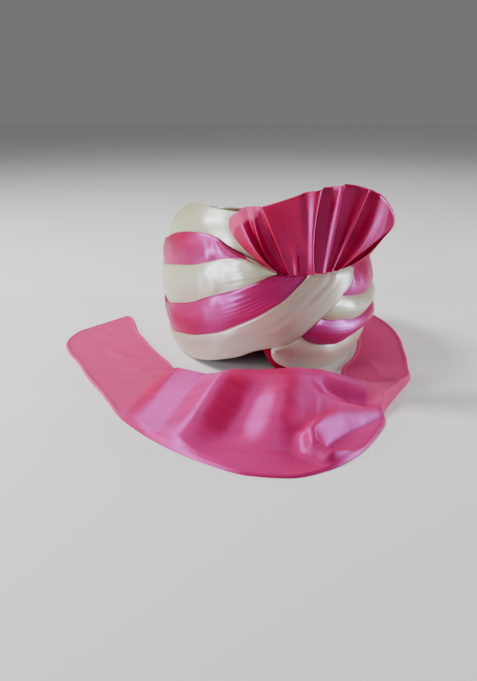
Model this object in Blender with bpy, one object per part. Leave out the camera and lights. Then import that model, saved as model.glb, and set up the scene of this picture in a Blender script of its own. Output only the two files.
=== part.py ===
"""Tied turban: a cap, five crossing wraps, a pleated fan and a loose tail, in metres, +Z up, front to -Y."""

import math
from collections import namedtuple

import bpy
import numpy as np

CROWN_WIDTH = 0.231
CROWN_LENGTH = 0.264
CROWN_HEIGHT = 0.158
FRONT_TURN = 8.0
FOOT_TUCK = 0.007
FOOT_TUCK_AZIMUTH = 60.0
FOOT_TUCK_REACH = 0.3

CAP_WALL = 0.0025
CAP_GAP = 0.0009
CAP_RIM_RISE = 0.0015
CAP_TOP_SINK = 0.006
CAP_CENTRE_HEIGHT = 0.139

WRAP_DEPTH = 0.006
WRAP_TUCKED = 0.003
WRAP_ROLL = 0.003
WRAP_PUFF = 0.0015
LOBE_PUFF = 0.003
KNOT_LIFT = 0.007
SEAM_GAP = 0.0008
CROSSING_GAP = 0.7
ROLL_POWER = 1.5
LARGEST_TRIM = 0.35

FAN_LEFT = -0.041
FAN_WIDTH = 0.155
FAN_HEIGHT = 0.083
FAN_FOOT_GAP = 0.0003
FAN_STANDOFF = 0.0055
FAN_CLOTH = 0.0025
FAN_PLEAT = 0.0042

TAIL_WIDTH = 0.155
TAIL_CLOTH = 0.0025
TAIL_GAP = 0.0005
TAIL_FOLD_HEIGHT = 0.025

PINK = (0.60, 0.045, 0.17, 1.0)
CREAM = (0.74, 0.73, 0.60, 1.0)
ROUGHNESS = 0.4

# Side profile of the crown. Rows hold the height as a share of the local rim height, then how far
# the wall stands inside the widest oval, as shares of the crown's height, left and right.
PROFILE = ((0.0, 0.076, 0.114), (0.075, 0.050, 0.076), (0.19, 0.025, 0.038), (0.35, 0.006, 0.0),
           (0.475, 0.0, 0.006), (0.60, 0.0, 0.032), (0.73, 0.019, 0.057), (0.855, 0.063, 0.089),
           (0.935, 0.114, 0.139), (1.0, 0.190, 0.215))
LEFT_INSET = 1
RIGHT_INSET = 2

# Height of the top rim round the head: azimuth in degrees from the front, share of crown height.
RIM_TOP = ((-180, 0.82), (-130, 0.89), (-90, 0.965), (-50, 1.0), (-20, 0.99), (20, 0.98), (60, 0.96),
           (100, 0.92), (140, 0.86), (180, 0.82))

# Edges between the wraps, each running once round the head from its start at the front right.
# Rows hold the azimuth in degrees and the height as a share of the crown's height.
EDGE_0 = ((7, 0.19), (10, 0.127), (14, 0.07), (19, 0.019), (24, 0.0), (60, 0.0), (180, 0.0), (309, 0.0),
          (316, 0.013), (325, 0.038), (335, 0.076), (344, 0.114), (352, 0.165), (359, 0.196), (366, 0.222),
          (371, 0.285), (376, 0.348), (380, 0.40), (384, 0.444), (388, 0.481), (391, 0.52), (395, 0.551),
          (397.5, 0.582), (399.5, 0.662))
EDGE_1 = ((16, 0.337), (21, 0.278), (28, 0.203), (33, 0.184), (38, 0.19), (44, 0.209), (60, 0.222),
          (90, 0.203), (130, 0.184), (180, 0.171), (230, 0.152), (270, 0.133), (289, 0.127), (305, 0.165),
          (316, 0.19), (328, 0.234), (336, 0.272), (346, 0.342), (353, 0.399), (360, 0.468), (366, 0.532),
          (370, 0.589), (373, 0.633), (375, 0.667))
EDGE_2 = ((24.5, 0.43), (29, 0.386), (35, 0.354), (40, 0.342), (47, 0.342), (57, 0.367), (70, 0.38),
          (100, 0.367), (180, 0.342), (240, 0.323), (285, 0.323), (304, 0.373), (319, 0.424), (329, 0.481),
          (337, 0.519), (346, 0.57), (353, 0.614), (358, 0.652), (361, 0.6685))
EDGE_3 = ((33.5, 0.538), (38, 0.506), (43, 0.487), (54, 0.475), (70, 0.494), (100, 0.519), (180, 0.506),
          (240, 0.532), (279, 0.57), (299, 0.614), (310, 0.639), (319, 0.658), (328, 0.69), (336, 0.722),
          (343, 0.741), (348.5, 0.75), (352, 0.738), (357, 0.712), (361.5, 0.687))
EDGE_4 = ((39.5, 0.662), (50, 0.677), (70, 0.69), (100, 0.696), (180, 0.658), (240, 0.684), (279, 0.747),
          (298, 0.816), (314, 0.848), (322, 0.854), (332, 0.842), (338, 0.81), (343, 0.785), (348, 0.762))
EDGES = (EDGE_0, EDGE_1, EDGE_2, EDGE_3, EDGE_4)
KNOT_LINE = 0.67

# The wraps share their stations. Rows hold where a run of stations starts and ends, in degrees
# round the head, and how many there are. Between the two upright ones the sections don't lean.
FIRST_STATION = 7.0
LAST_STATION = 399.5
STATION_RUNS = ((FIRST_STATION, 67.0, 12), (67.0, 307.0, 29), (307.0, LAST_STATION, 19))
UPRIGHT_FROM = 60.0
UPRIGHT_TO = 325.0
CROSSING_FROM = 359.0
START_FADE = (FIRST_STATION, 25.0)
LEFT_FADE = (140.0, 230.0)
LOBE_FADE = (50.0, 95.0)
KNOT_FADE = (345.0, 385.0)
TOP_EXTRA_STATIONS = (352.0, 357.0, 361.5, 368.0, 375.0, 383.0, 391.0)
TOP_LEAN = 340.0
TOP_LEAN_FADE = (39.5, 90.0)

# Points across a wrap from its lower to its upper edge: share of the width, share of the thickness.
OUTER_ACROSS = ((0.0, 0.5), (0.05, 0.93), (0.27, 1.0), (0.5, 1.0), (0.73, 1.0), (0.95, 0.93), (1.0, 0.5))
INNER_ACROSS = (1.0, 0.66, 0.33, 0.0)
TOP_INNER_ACROSS = (1.0, 0.93, 0.84, 0.7, 0.45, 0.0)

# Foot of the cap: azimuth, share of crown height. It rises behind the arch at the front left.
CAP_FRONT_FOOT = ((-180, 0.0), (-51, 0.0), (-44, 0.024), (-35, 0.05),
                  (-25, 0.088), (-16, 0.126), (-8, 0.177), (-3, 0.19), (1, 0.09), (6, 0.0), (180, 0.0))
# Heights of the cap's rings from foot to top edge, then radii of the rings in over its top.
CAP_UP = (0.0, 0.3, 0.55, 0.78, 0.92, 1.0)
CAP_IN = (0.88, 0.55)
# Rows hold where a run of the cap's sides starts and ends, in degrees, and their spacing.
CAP_SIDES = ((-60.0, -10.0, 6.0), (-10.0, 14.0, 4.0), (14.0, 60.0, 6.0), (60.0, 300.0, 8.0))

# Plan line of the fan: share of the fan's width, distance in front of the crown's axis as a share
# of half the crown's length, and the pleats from left to right.
FAN_PLAN = ((-0.10, 0.835), (0.0, 0.905), (0.13, 0.965), (0.26, 0.993), (0.39, 1.0), (0.52, 0.985),
            (0.65, 0.955), (0.85, 0.88), (1.05, 0.78))
Pleat = namedtuple("Pleat", "foot_across foot_up tip_across tip_up bow foot_depth tip_depth")
FAN_PLEATS = (
    Pleat(0.315, 0.012, 0.000, 0.46, 0.02, -0.2, -2.2),
    Pleat(0.328, 0.008, 0.006, 0.61, 0.00, 0.7, -1.2),
    Pleat(0.340, 0.006, 0.055, 0.71, -0.01, -0.7, -0.8),
    Pleat(0.350, 0.004, 0.110, 0.75, -0.04, 0.8, 0.4),
    Pleat(0.360, 0.003, 0.142, 0.75, -0.03, -0.9, -1.1),
    Pleat(0.371, 0.002, 0.174, 0.76, 0.01, 1.0, 1.0),
    Pleat(0.395, 0.001, 0.252, 0.78, 0.01, -0.5, 0.0),
    Pleat(0.418, 0.000, 0.348, 0.85, 0.00, 0.7, 0.5),
    Pleat(0.455, 0.002, 0.439, 0.91, -0.02, -0.5, 0.0),
    Pleat(0.500, 0.005, 0.529, 0.94, -0.04, 0.9, 1.0),
    Pleat(0.535, 0.006, 0.575, 0.96, -0.03, -0.9, -0.9),
    Pleat(0.570, 0.010, 0.652, 0.97, 0.00, 0.9, 1.0),
    Pleat(0.594, 0.016, 0.690, 0.99, 0.01, -0.8, -0.8),
    Pleat(0.615, 0.024, 0.812, 0.93, 0.00, 0.9, 1.0),
    Pleat(0.632, 0.030, 0.850, 0.90, 0.02, -0.8, -0.7),
    Pleat(0.648, 0.036, 0.890, 0.85, 0.07, 0.8, 0.9),
    Pleat(0.658, 0.042, 0.950, 0.74, 0.05, -0.6, -0.3),
    Pleat(0.667, 0.048, 1.000, 0.58, 0.03, 0.4, 0.2),
    Pleat(0.675, 0.056, 0.938, 0.40, 0.02, -0.2, 0.5),
    Pleat(0.680, 0.064, 0.840, 0.17, -0.01, -0.2, -0.4),
)
FAN_BETWEEN = 2
FAN_ROWS = 10

# Rows run from the root under the back rim to the hemmed end. Each holds the azimuth of the edge
# nearer to the crown and its distance from the widest oval as a share of the tail's width, then
# the same for the far edge.
TAIL_ROWS = (
    (149, -0.20, 186, -0.20), (148, -0.07, 184, 0.02), (146, -0.06, 175, 0.19), (143, -0.06, 163, 0.30),
    (135, -0.06, 149, 0.33), (122, -0.07, 129, 0.29), (105, -0.07, 101, 0.24), (87, -0.09, 88, 0.225),
    (69, -0.10, 77, 0.224), (38, -0.044, 57.4, 0.294), (25.2, 0.125, 48.1, 0.377),
    (20.1, 0.13, 36.2, 0.455), (15.5, 0.115, 25.5, 0.597), (11.7, 0.104, 22.2, 0.724),
    (7.9, 0.093, 18.1, 0.836), (3.9, 0.087, 12.1, 1.003),
    (-1.2, 0.087, 6.4, 1.128), (-7.9, 0.102, 0.9, 1.189), (-15.5, 0.133, -4.6, 1.174),
    (-23.5, 0.153, -10.7, 1.099), (-31.1, 0.145, -18.1, 0.999), (-36.9, 0.151, -26.3, 0.892),
    (-44.7, 0.110, -32.2, 0.821), (-54.4, 0.077, -39.8, 0.724), (-64.8, 0.081, -47.7, 0.664),
    (-83.2, 0.125, -64.8, 0.624), (-98.4, 0.219, -76.8, 0.672), (-108.4, 0.298, -84.4, 0.700),
    (-114.6, 0.39, -91.0, 0.679), (-115.5, 0.44, -96.4, 0.639),
)
# Folds of the tail, which add up. Each has its reach towards the crown and away from it, as shares
# of the tail's width, and a crest whose spots hold the azimuth, the distance and the height as a
# share of the fold height. A crest below zero is a hollow.
Fold = namedtuple("Fold", "reach_in reach_out crest")
TAIL_FOLDS = (
    Fold(0.09, 0.50, ((-38, 0.16, 0.35), (-30, 0.22, 0.65), (-22, 0.27, 0.9), (-14, 0.27, 1.0),
                      (-4, 0.21, 1.0), (8, 0.21, 1.0), (15, 0.25, 0.95), (20, 0.31, 0.8),
                      (26, 0.40, 0.6), (36, 0.42, 0.3))),
    Fold(0.12, 0.12, ((-11, 0.30, 0.0), (-10.5, 0.50, 0.18), (-12, 0.75, 0.25), (-15, 0.95, 0.15))),
    Fold(0.09, 0.09, ((-3, 0.35, 0.0), (-4.5, 0.58, -0.20), (-7, 0.85, -0.14))),
    Fold(0.10, 0.10, ((11.5, 0.26, 0.0), (6.0, 0.41, 0.16), (0.5, 0.60, 0.28), (-2.0, 0.80, 0.26),
                      (-3.0, 0.97, 0.1))),
    Fold(0.055, 0.06, ((20, 0.64, 0.12), (15.4, 0.63, 0.20), (11.9, 0.53, 0.12), (8.5, 0.52, 0.10),
                       (5.0, 0.66, 0.12), (2.0, 0.84, 0.08))),
    Fold(0.05, 0.05, ((12, 0.30, -0.35), (17.5, 0.36, -0.45), (22, 0.43, -0.45), (22, 0.52, -0.25))),
    Fold(0.04, 0.045, ((16, 0.69, 0.1), (12.3, 0.71, 0.30), (7.6, 0.81, 0.50), (5.5, 0.90, 0.50),
                       (5.2, 0.97, 0.44), (6.8, 1.06, 0.32), (10.6, 1.02, 0.30), (15.1, 0.91, 0.22),
                       (19.5, 0.79, 0.08))),
    Fold(0.04, 0.08, ((22.5, 0.69, -0.35), (17.2, 0.775, -0.5), (11.0, 0.865, -0.4))),
    Fold(0.05, 0.06, ((25, 0.46, 0.2), (23.5, 0.62, 0.2), (22.2, 0.70, 0.15))),
)
TAIL_BETWEEN = 2
TAIL_ACROSS = (0.0, 0.06, 0.14, 0.23, 0.33, 0.44, 0.56, 0.68, 0.8, 0.91, 1.0)
# Over these shares of the width the folds fade out towards the two edges of the tail. Over these
# rows they rise along the right side and fall again at the flat left end.
FOLD_EDGE_IN = 0.14
FOLD_EDGE_OUT = 0.05
FOLDS_RISE = (7.0, 10.0)
FOLDS_FALL = (20.8, 22.4)
# Azimuths at the back where the rim starts and stops to rise over the tail.
PASSAGE_RISE = (128.0, 144.0)
PASSAGE_FALL = (193.0, 209.0)


def smooth(x, rows, column=1):
    """Curve through a column of the rows, by place, that doesn't swing past them."""
    xs = [row[0] for row in rows]
    ys = [row[column] for row in rows]
    if x <= xs[0]:
        return ys[0]
    if x >= xs[-1]:
        return ys[-1]
    slopes = [(ys[i + 1] - ys[i]) / (xs[i + 1] - xs[i]) for i in range(len(xs) - 1)]
    tangents = [slopes[0]]
    for before, after in zip(slopes, slopes[1:]):
        tangents.append(0.0 if before * after <= 0.0 else 2.0 * before * after / (before + after))
    tangents.append(slopes[-1])
    i = max(k for k in range(len(xs) - 1) if xs[k] <= x)
    step = xs[i + 1] - xs[i]
    t = (x - xs[i]) / step
    return (ys[i] * (1 + 2 * t) * (1 - t) ** 2 + step * tangents[i] * t * (1 - t) ** 2
            + ys[i + 1] * t * t * (3 - 2 * t) + step * tangents[i + 1] * t * t * (t - 1))


def fade(low, high, x):
    """Eased step from 0 at low to 1 at high."""
    t = min(1.0, max(0.0, (x - low) / (high - low)))
    return t * t * (3.0 - 2.0 * t)


def eased_rows(rows, between):
    """Rows of a table with eased rows between them."""
    steps = np.linspace(0.0, len(rows) - 1.0, (len(rows) - 1) * between + 1)
    columns = [list(enumerate(column)) for column in zip(*rows)]
    return [[smooth(step, column) for column in columns] for step in steps]


def around(azimuth):
    """Azimuth brought between -180 and 180 degrees."""
    return (azimuth + 180.0) % 360.0 - 180.0


def oval(azimuth):
    """Radius of the crown's widest oval."""
    turn = math.radians(azimuth - FRONT_TURN)
    return 1.0 / math.hypot(2.0 * math.cos(turn) / CROWN_LENGTH, 2.0 * math.sin(turn) / CROWN_WIDTH)


def rim_top(azimuth):
    return CROWN_HEIGHT * smooth(around(azimuth), RIM_TOP)


def wall(azimuth, height):
    """Radius of the crown's outside at this azimuth and height."""
    share = height / rim_top(azimuth)
    right = 0.5 + 0.5 * math.sin(math.radians(azimuth - FRONT_TURN))
    left_inset = smooth(share, PROFILE, LEFT_INSET)
    inset = left_inset + (smooth(share, PROFILE, RIGHT_INSET) - left_inset) * right
    facing = max(0.0, math.cos(math.radians(azimuth - FOOT_TUCK_AZIMUTH)))
    tuck = FOOT_TUCK * facing * (1.0 - fade(0.0, FOOT_TUCK_REACH, share))
    return oval(azimuth) - CROWN_HEIGHT * inset - tuck


def place(azimuth, radius, height):
    """Point in space; azimuth 0 is the front (-Y) and 90 the right (+X)."""
    turn = math.radians(azimuth)
    return (radius * math.sin(turn), -radius * math.cos(turn), height)


def tail_passage(azimuth):
    """How far the rim is lifted at the back, where the tail comes out under it."""
    back = azimuth % 360.0
    return (TAIL_CLOTH + TAIL_GAP) * fade(*PASSAGE_RISE, back) * (1.0 - fade(*PASSAGE_FALL, back))


def edge_height(edge, azimuth):
    lift = tail_passage(azimuth) if edge is EDGE_0 else 0.0
    return CROWN_HEIGHT * smooth(azimuth, edge) + lift


def stations():
    """Shared stations of the wraps, closer together at the front."""
    found = []
    for start, end, count in STATION_RUNS:
        found += list(np.linspace(start, end, count, endpoint=False))
    return found + [LAST_STATION]


def edge_azimuth(edge, station):
    """Azimuth at which this edge passes the shared station."""
    return float(np.interp(station, (FIRST_STATION, UPRIGHT_FROM, UPRIGHT_TO, LAST_STATION),
                           (edge[0][0], UPRIGHT_FROM, UPRIGHT_TO, edge[-1][0])))


def crossing_azimuth(height):
    """Azimuth of the crossing line, the last part of the lowest edge, at this height."""
    line = [(CROWN_HEIGHT * share, azimuth - 360.0) for azimuth, share in EDGE_0 if azimuth >= CROSSING_FROM]
    return float(np.interp(height, *zip(*line)))


def thickness(azimuth, share):
    """Thickness of a wrap at this place, from its lower (0) to its upper edge (1)."""
    left = fade(*LEFT_FADE, azimuth)
    rolled = left * share ** ROLL_POWER + (1.0 - left) * (1.0 - share) ** ROLL_POWER
    puff = WRAP_PUFF + LOBE_PUFF * (1.0 - fade(*LOBE_FADE, azimuth))
    over = KNOT_LIFT * fade(*KNOT_FADE, azimuth)
    return WRAP_TUCKED + WRAP_ROLL * rolled + puff * 4.0 * share * (1.0 - share) + over


def wrap_section(low, high, lean_azimuth, crossing, inner_across):
    """Closed ring of points of a wrap between its lower and its upper edge point."""
    span = math.hypot(math.radians(high[0] - low[0]) * oval(low[0]), high[1] - low[1])
    trim = min(LARGEST_TRIM, 0.5 * SEAM_GAP / span)

    def on_wall(share):
        kept = trim + (1.0 - 2.0 * trim) * share if low[1] > 0.0 else (1.0 - trim) * share
        azimuth = low[0] + (high[0] - low[0]) * kept
        height = low[1] + (high[1] - low[1]) * kept
        line = crossing_azimuth(height) + CROSSING_GAP
        return azimuth + crossing * (line - azimuth), height

    ring = []
    for share, part in OUTER_ACROSS:
        azimuth, height = on_wall(share)
        out = wall(azimuth, height) - WRAP_DEPTH + part * thickness(lean_azimuth, share)
        ring.append(place(azimuth, out, height))
    for share in inner_across:
        azimuth, height = on_wall(share)
        ring.append(place(azimuth, wall(azimuth, height) - WRAP_DEPTH, height))
    return ring


def spiral_wrap(lower, upper):
    """Sections of a wrap that goes once round and crosses over its own start."""
    sections = []
    for station in stations():
        low_azimuth = edge_azimuth(lower, station)
        high_azimuth = edge_azimuth(upper, station)
        low = (low_azimuth, edge_height(lower, low_azimuth))
        high = (high_azimuth, edge_height(upper, high_azimuth))
        crossing = 1.0 - fade(*START_FADE, station)
        sections.append(wrap_section(low, high, station, crossing, INNER_ACROSS))
    return sections


def top_band():
    """Sections of the closed ring round the top rim, above the other wraps."""
    azimuths = [edge_azimuth(EDGE_4, station) for station in stations()] + list(TOP_EXTRA_STATIONS)
    sections = []
    for azimuth in azimuths:
        if azimuth <= EDGE_4[-1][0]:
            height = edge_height(EDGE_4, azimuth)
        elif azimuth <= EDGE_3[-1][0]:
            height = edge_height(EDGE_3, azimuth)
        else:
            height = CROWN_HEIGHT * KNOT_LINE
        low = (azimuth, height + 0.5 * SEAM_GAP)
        high = (azimuth, rim_top(azimuth) - SEAM_GAP)
        lean = TOP_LEAN + (min(azimuth, TOP_LEAN) - TOP_LEAN) * fade(*TOP_LEAN_FADE, azimuth)
        sections.append(wrap_section(low, high, lean, 0.0, TOP_INNER_ACROSS))
    return sections


def mesh_from_rings(name, rings, closed, material, poles=None):
    """Closed body through rings of points, with flat ends, a closed loop or end poles."""
    size = len(rings[0])
    points = [point for ring in rings for point in ring]
    faces = []
    pairs = len(rings) if closed else len(rings) - 1
    for i in range(pairs):
        a = i * size
        b = (i + 1) % len(rings) * size
        for j in range(size):
            k = (j + 1) % size
            faces.append((a + j, a + k, b + k, b + j))
    if poles:
        for ring_index, pole in poles:
            points.append(pole)
            a = ring_index * size
            for j in range(size):
                faces.append((a + j, a + (j + 1) % size, len(points) - 1))
    elif not closed:
        faces.append(tuple(range(size)))
        faces.append(tuple((len(rings) - 1) * size + j for j in range(size)))
    return mesh_object(name, points, faces, material)


def mesh_object(name, points, faces, material):
    """Mesh object with faces turned outwards and smooth shading."""
    mesh = bpy.data.meshes.new(name)
    mesh.from_pydata([tuple(point) for point in points], [], faces)
    mesh.validate()
    body = bpy.data.objects.new(name, mesh)
    bpy.context.scene.collection.objects.link(body)
    bpy.context.view_layer.objects.active = body
    body.select_set(True)
    bpy.ops.object.mode_set(mode="EDIT")
    bpy.ops.mesh.select_all(action="SELECT")
    bpy.ops.mesh.normals_make_consistent(inside=False)
    bpy.ops.object.mode_set(mode="OBJECT")
    body.select_set(False)
    mesh.polygons.foreach_set("use_smooth", [True] * len(mesh.polygons))
    mesh.materials.append(material)
    return body


def cap_foot(azimuth):
    return CROWN_HEIGHT * smooth(azimuth, CAP_FRONT_FOOT) + tail_passage(azimuth) + CAP_RIM_RISE


def cap_ring(azimuth, inset):
    """Points up the cap's wall and in over its top, at this azimuth."""
    foot = cap_foot(azimuth)
    top = rim_top(azimuth) - CAP_TOP_SINK - inset
    line = []
    for share in CAP_UP:
        height = foot + (top - foot) * share
        line.append((wall(azimuth, height) - WRAP_DEPTH - CAP_GAP - inset, height))
    edge_radius = line[-1][0]
    for share in CAP_IN:
        height = top * share + (CAP_CENTRE_HEIGHT - inset) * (1.0 - share)
        line.append((edge_radius * share, height))
    return [place(azimuth, radius, height) for radius, height in line]


def cap(material):
    """Thin cap: an outer and an inner skin that meet at the foot."""
    azimuths = [around(azimuth) for run in CAP_SIDES for azimuth in np.arange(*run)]
    outer = [cap_ring(azimuth, 0.0) for azimuth in azimuths]
    inner = [cap_ring(azimuth, CAP_WALL) for azimuth in azimuths]
    levels = [[ring[level] for ring in outer] for level in reversed(range(len(outer[0])))]
    levels += [[ring[level] for ring in inner] for level in range(len(inner[0]))]
    top = (0.0, 0.0, CAP_CENTRE_HEIGHT)
    underside = (0.0, 0.0, CAP_CENTRE_HEIGHT - CAP_WALL)
    return mesh_from_rings("crown_cap", levels, False, material, ((0, top), (len(levels) - 1, underside)))


def fan_place(across, up, depth):
    """Point of the fan from its shares across and up and its depth towards the front."""
    x = FAN_LEFT + FAN_WIDTH * across
    front = 0.5 * CROWN_LENGTH * smooth(across, FAN_PLAN) + depth
    foot = CROWN_HEIGHT * KNOT_LINE + FAN_FOOT_GAP
    return (x, -front, foot + FAN_HEIGHT * up)


def fan_surface(side):
    """Grid of points of one face of the fan, a row for each pleat line."""
    standoff = FAN_STANDOFF - WRAP_DEPTH + 0.5 * (1.0 + side) * FAN_CLOTH
    grid = []
    for pleat in (Pleat(*row) for row in eased_rows(FAN_PLEATS, FAN_BETWEEN)):
        run = pleat.tip_across - pleat.foot_across
        rise = pleat.tip_up - pleat.foot_up
        length = math.hypot(run * FAN_WIDTH, rise * FAN_HEIGHT)
        line = []
        for t in np.linspace(0.0, 1.0, FAN_ROWS):
            bow = pleat.bow * 4.0 * t * (1.0 - t) / length
            across = pleat.foot_across + run * t + bow * rise * FAN_HEIGHT
            up = pleat.foot_up + rise * t - bow * run * FAN_WIDTH
            opened = 0.5 + 0.5 * math.sqrt(t)
            depth = FAN_PLEAT * (pleat.foot_depth + (pleat.tip_depth - pleat.foot_depth) * t) * opened
            line.append(fan_place(across, up, depth + standoff))
        grid.append(line)
    return grid


def sheet_object(name, front, back, material):
    """Closed sheet between two grids of points."""
    rings = [list(near) + list(reversed(far)) for near, far in zip(front, back)]
    return mesh_from_rings(name, rings, False, material)


def tail_place(azimuth, distance):
    radius = oval(azimuth) + TAIL_WIDTH * distance
    return np.array(place(azimuth, radius, 0.0))


def fold_height(fold, point):
    """Height that one fold adds over this point of the surface."""
    crest = [(tail_place(azimuth, distance), height) for azimuth, distance, height in fold.crest]
    nearest = None
    for (start, low), (end, high) in zip(crest, crest[1:]):
        along = end - start
        t = min(1.0, max(0.0, float(np.dot(point - start, along) / np.dot(along, along))))
        spot = start + t * along
        distance = float(np.linalg.norm(point - spot))
        if nearest is None or distance < nearest[0]:
            nearest = (distance, spot, low + t * (high - low))
    distance, spot, height = nearest
    outwards = float(np.dot(point - spot, spot / np.linalg.norm(spot)))
    lean = 0.5 + 0.5 * outwards / max(distance, TAIL_GAP)
    reach = TAIL_WIDTH * (fold.reach_in + (fold.reach_out - fold.reach_in) * lean)
    return TAIL_FOLD_HEIGHT * height * math.exp(-((distance / reach) ** 2))


def tail_surfaces():
    """Grids of the tail's underside and its upper face, a row for each section."""
    under = []
    upper = []
    for i, row in enumerate(eased_rows(TAIL_ROWS, TAIL_BETWEEN)):
        step = i / TAIL_BETWEEN
        present = fade(*FOLDS_RISE, step) * (1.0 - fade(*FOLDS_FALL, step))
        in_azimuth, in_distance, out_azimuth, out_distance = row
        inner = tail_place(in_azimuth, in_distance)
        outer = tail_place(out_azimuth, out_distance)
        low_line = []
        high_line = []
        for share in TAIL_ACROSS:
            point = inner + (outer - inner) * share
            folds = max(0.0, sum(fold_height(fold, point) for fold in TAIL_FOLDS))
            edges = fade(0.0, FOLD_EDGE_IN, share) * fade(0.0, FOLD_EDGE_OUT, 1.0 - share)
            lift = folds * edges * present
            low_line.append((point[0], point[1], lift))
            high_line.append((point[0], point[1], lift + TAIL_CLOTH))
        under.append(low_line)
        upper.append(high_line)
    return upper, under


def material(name, colour):
    made = bpy.data.materials.new(name)
    made.use_nodes = True
    shader = made.node_tree.nodes["Principled BSDF"]
    shader.inputs["Base Color"].default_value = colour
    shader.inputs["Roughness"].default_value = ROUGHNESS
    return made


def stand_on_origin(bodies):
    """Moves all bodies together: the footprint's middle to the origin and the floor to zero."""
    corners = np.array([vertex.co for body in bodies for vertex in body.data.vertices])
    low = corners.min(axis=0)
    high = corners.max(axis=0)
    shift = (-0.5 * (low[0] + high[0]), -0.5 * (low[1] + high[1]), -low[2])
    for body in bodies:
        for vertex in body.data.vertices:
            vertex.co = [vertex.co[i] + float(shift[i]) for i in range(3)]
    print("crown axis at", [round(float(value), 5) for value in shift])


def main():
    for body in list(bpy.data.objects):
        bpy.data.objects.remove(body, do_unlink=True)
    names = ("wrap_1_cream", "wrap_2_pink", "wrap_3_cream", "wrap_4_pink")
    for name, lower, upper in zip(names, EDGES, EDGES[1:]):
        colour = CREAM if name.endswith("cream") else PINK
        mesh_from_rings(name, spiral_wrap(lower, upper), False, material(name, colour))
    mesh_from_rings("wrap_5_cream", top_band(), True, material("wrap_5_cream", CREAM))
    cap(material("crown_cap", PINK))
    sheet_object("fan", fan_surface(1.0), fan_surface(-1.0), material("fan", PINK))
    upper, under = tail_surfaces()
    sheet_object("tail", upper, under, material("tail", PINK))
    stand_on_origin(list(bpy.data.objects))


main()
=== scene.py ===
# %% [markdown]
# This scene dresses the imported turban. The solids keep their shapes, and each soft piece
# is made again here with finer folds: the cap, the five wraps, the pleated fan and the loose tail.

# %% Load the imported model
import math

import bpy
import numpy as np
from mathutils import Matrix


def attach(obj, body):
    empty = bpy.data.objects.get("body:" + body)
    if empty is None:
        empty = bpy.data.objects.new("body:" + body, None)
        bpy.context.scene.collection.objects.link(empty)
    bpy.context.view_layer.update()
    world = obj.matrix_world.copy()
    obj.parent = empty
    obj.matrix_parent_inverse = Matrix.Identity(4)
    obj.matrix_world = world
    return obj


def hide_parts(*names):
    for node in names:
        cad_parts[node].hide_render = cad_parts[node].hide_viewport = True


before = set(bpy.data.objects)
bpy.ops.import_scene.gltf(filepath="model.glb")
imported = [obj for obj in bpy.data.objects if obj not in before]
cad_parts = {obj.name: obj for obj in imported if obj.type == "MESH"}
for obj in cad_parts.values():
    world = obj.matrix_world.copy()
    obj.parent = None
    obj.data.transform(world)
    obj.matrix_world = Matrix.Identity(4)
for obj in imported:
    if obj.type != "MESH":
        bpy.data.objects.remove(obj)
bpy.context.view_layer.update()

# %% [markdown]
# The camera comes first, because the crown, the fan and the tail were all measured through it.
# It stands 78 cm in front of the crown's axis and looks 19 degrees down.

# %% Camera
AXIS_X = 0.03604
AXIS_Y = 0.07428
CAMERA_OFFSET = (-0.0319, -0.7763, 0.2643)
CAMERA_PITCH = 19.0
CAMERA_LENS = 38.06
CAMERA_SENSOR = 36.0

camera_data = bpy.data.cameras.new("camera")
camera_data.lens = CAMERA_LENS
camera_data.sensor_width = CAMERA_SENSOR
camera_data.sensor_fit = "AUTO"
camera = bpy.data.objects.new("camera", camera_data)
bpy.context.scene.collection.objects.link(camera)
camera.location = (AXIS_X + CAMERA_OFFSET[0], AXIS_Y + CAMERA_OFFSET[1], CAMERA_OFFSET[2])
camera.rotation_euler = (math.radians(90.0 - CAMERA_PITCH), 0.0, 0.0)
bpy.context.scene.camera = camera
print("camera at", [round(v, 3) for v in camera.location])

# %% [markdown]
# The turban lies on a pale floor, as in a product studio. The floor is one large face, because
# nothing but its colour and the soft shadows on it is seen.

# %% Floor
FLOOR_SIZE = 12.0


def mesh_object(name, points, faces):
    """Object at the origin from a list of points and faces."""
    mesh = bpy.data.meshes.new(name)
    mesh.from_pydata([tuple(p) for p in points], [], faces)
    mesh.update()
    made = bpy.data.objects.new(name, mesh)
    bpy.context.scene.collection.objects.link(made)
    return made


half = FLOOR_SIZE / 2
corners = [(-half, -half, 0), (half, -half, 0), (half, half, 0), (-half, half, 0)]
floor = mesh_object("floor", corners, [(0, 1, 2, 3)])
print("floor", FLOOR_SIZE, "m wide")

# %% [markdown]
# Large soft lamps and a faint even surround light it. The low lamps at both sides and the high
# one at the left give the satin its upright streaks of light. The one above lights the tail,
# and a weak one behind keeps the back from going dark.

# %% Lamps
LAMP_AIM_HEIGHT = 0.08
SURROUND_STRENGTH = 0.18

# name, azimuth and elevation in degrees, distance, width and height in metres, power in watts
LAMPS = (
    ("lamp_left", -64.0, 7.0, 1.2, 0.18, 0.40, 10.0),
    ("lamp_right", 88.0, 8.0, 1.2, 0.16, 0.40, 10.0),
    ("lamp_above", 180.0, 78.0, 1.6, 0.8, 0.8, 7.0),
    ("lamp_high_left", -107.0, 49.0, 1.6, 0.26, 0.5, 24.0),
    ("lamp_back", 150.0, 40.0, 2.0, 0.6, 0.6, 4.0),
)


def area_lamp(name, azimuth, elevation, distance, width, height, power):
    """Soft lamp that looks at the crown's middle from this azimuth (0 is the front, 90 the right)."""
    data = bpy.data.lights.new(name, "AREA")
    data.shape = "RECTANGLE"
    data.size = width
    data.size_y = height
    data.energy = power
    lamp = bpy.data.objects.new(name, data)
    bpy.context.scene.collection.objects.link(lamp)
    turn = math.radians(azimuth)
    rise = math.radians(elevation)
    lamp.location = (AXIS_X + distance * math.sin(turn) * math.cos(rise),
                     AXIS_Y - distance * math.cos(turn) * math.cos(rise),
                     LAMP_AIM_HEIGHT + distance * math.sin(rise))
    lamp.rotation_euler = (math.radians(90.0) - rise, 0.0, turn)


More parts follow.
